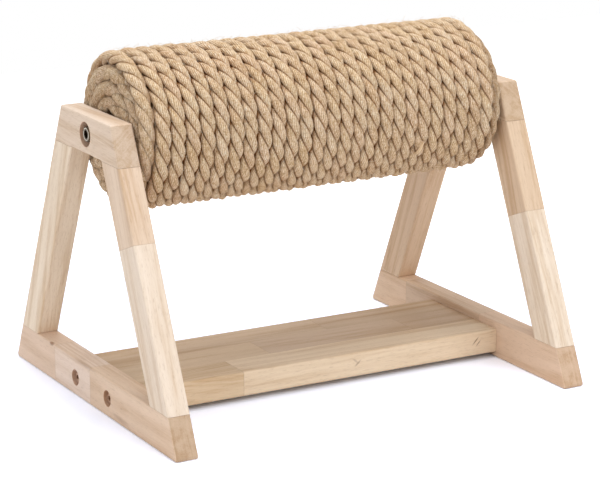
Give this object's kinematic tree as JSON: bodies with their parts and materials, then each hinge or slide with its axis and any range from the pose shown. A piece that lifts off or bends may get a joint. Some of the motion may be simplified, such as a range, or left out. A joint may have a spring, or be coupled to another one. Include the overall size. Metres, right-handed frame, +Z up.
{
  "type": "cat scratching roller",
  "caption": "Rope-wound scratching drum that turns between two timber A-frames joined by a flat base board.",
  "frame": {"origin": "middle of the footprint, on the floor", "axes": "+X along the drum, the front is at -Y, +Z up"},
  "size_m": [0.471, 0.3852, 0.3616],
  "materials": {
    "timber": "sanded pale hardwood, clear matt",
    "dowel_wood": "raw beech",
    "paperboard": "wound paperboard tube",
    "rope": "three-strand jute, matt and hairy",
    "steel": "zinc-plated steel"
  },
  "bodies": {
    "stand": {"left_bottom_rail": "timber", "left_top_block": "timber", "left_front_leg": "timber", "left_back_leg": "timber", "left_front_rail_dowel_outer": "dowel_wood", "left_front_rail_dowel_inner": "dowel_wood", "left_front_block_dowel_outer": "dowel_wood", "left_front_block_dowel_inner": "dowel_wood", "left_back_rail_dowel_outer": "dowel_wood", "left_back_rail_dowel_inner": "dowel_wood", "left_back_block_dowel_outer": "dowel_wood", "left_back_block_dowel_inner": "dowel_wood", "left_front_base_bolt": "steel", "left_front_base_washer": "steel", "left_front_base_insert": "steel", "left_back_base_bolt": "steel", "left_back_base_washer": "steel", "left_back_base_insert": "steel", "right_bottom_rail": "timber", "right_top_block": "timber", "right_front_leg": "timber", "right_back_leg": "timber", "right_front_rail_dowel_outer": "dowel_wood", "right_front_rail_dowel_inner": "dowel_wood", "right_front_block_dowel_outer": "dowel_wood", "right_front_block_dowel_inner": "dowel_wood", "right_back_rail_dowel_outer": "dowel_wood", "right_back_rail_dowel_inner": "dowel_wood", "right_back_block_dowel_outer": "dowel_wood", "right_back_block_dowel_inner": "dowel_wood", "right_front_base_bolt": "steel", "right_front_base_washer": "steel", "right_front_base_insert": "steel", "right_back_base_bolt": "steel", "right_back_base_washer": "steel", "right_back_base_insert": "steel", "base_board": "timber"},
    "roller": {"left_axle_bolt": "steel", "left_axle_washer": "steel", "left_axle_sleeve": "steel", "left_axle_insert": "steel", "left_drum_disc": "dowel_wood", "right_axle_bolt": "steel", "right_axle_washer": "steel", "right_axle_sleeve": "steel", "right_axle_insert": "steel", "right_drum_disc": "dowel_wood", "drum_tube": "paperboard", "drum_rope_winding": "rope", "left_rope_spiral": "rope", "right_rope_spiral": "rope"}
  },
  "joints": [
    {"name": "roller_spin", "type": "hinge", "parent": "stand", "child": "roller", "pos_m": [0, 0, 0.2805], "axis": [1, 0, 0], "continuous": true}
  ]
}
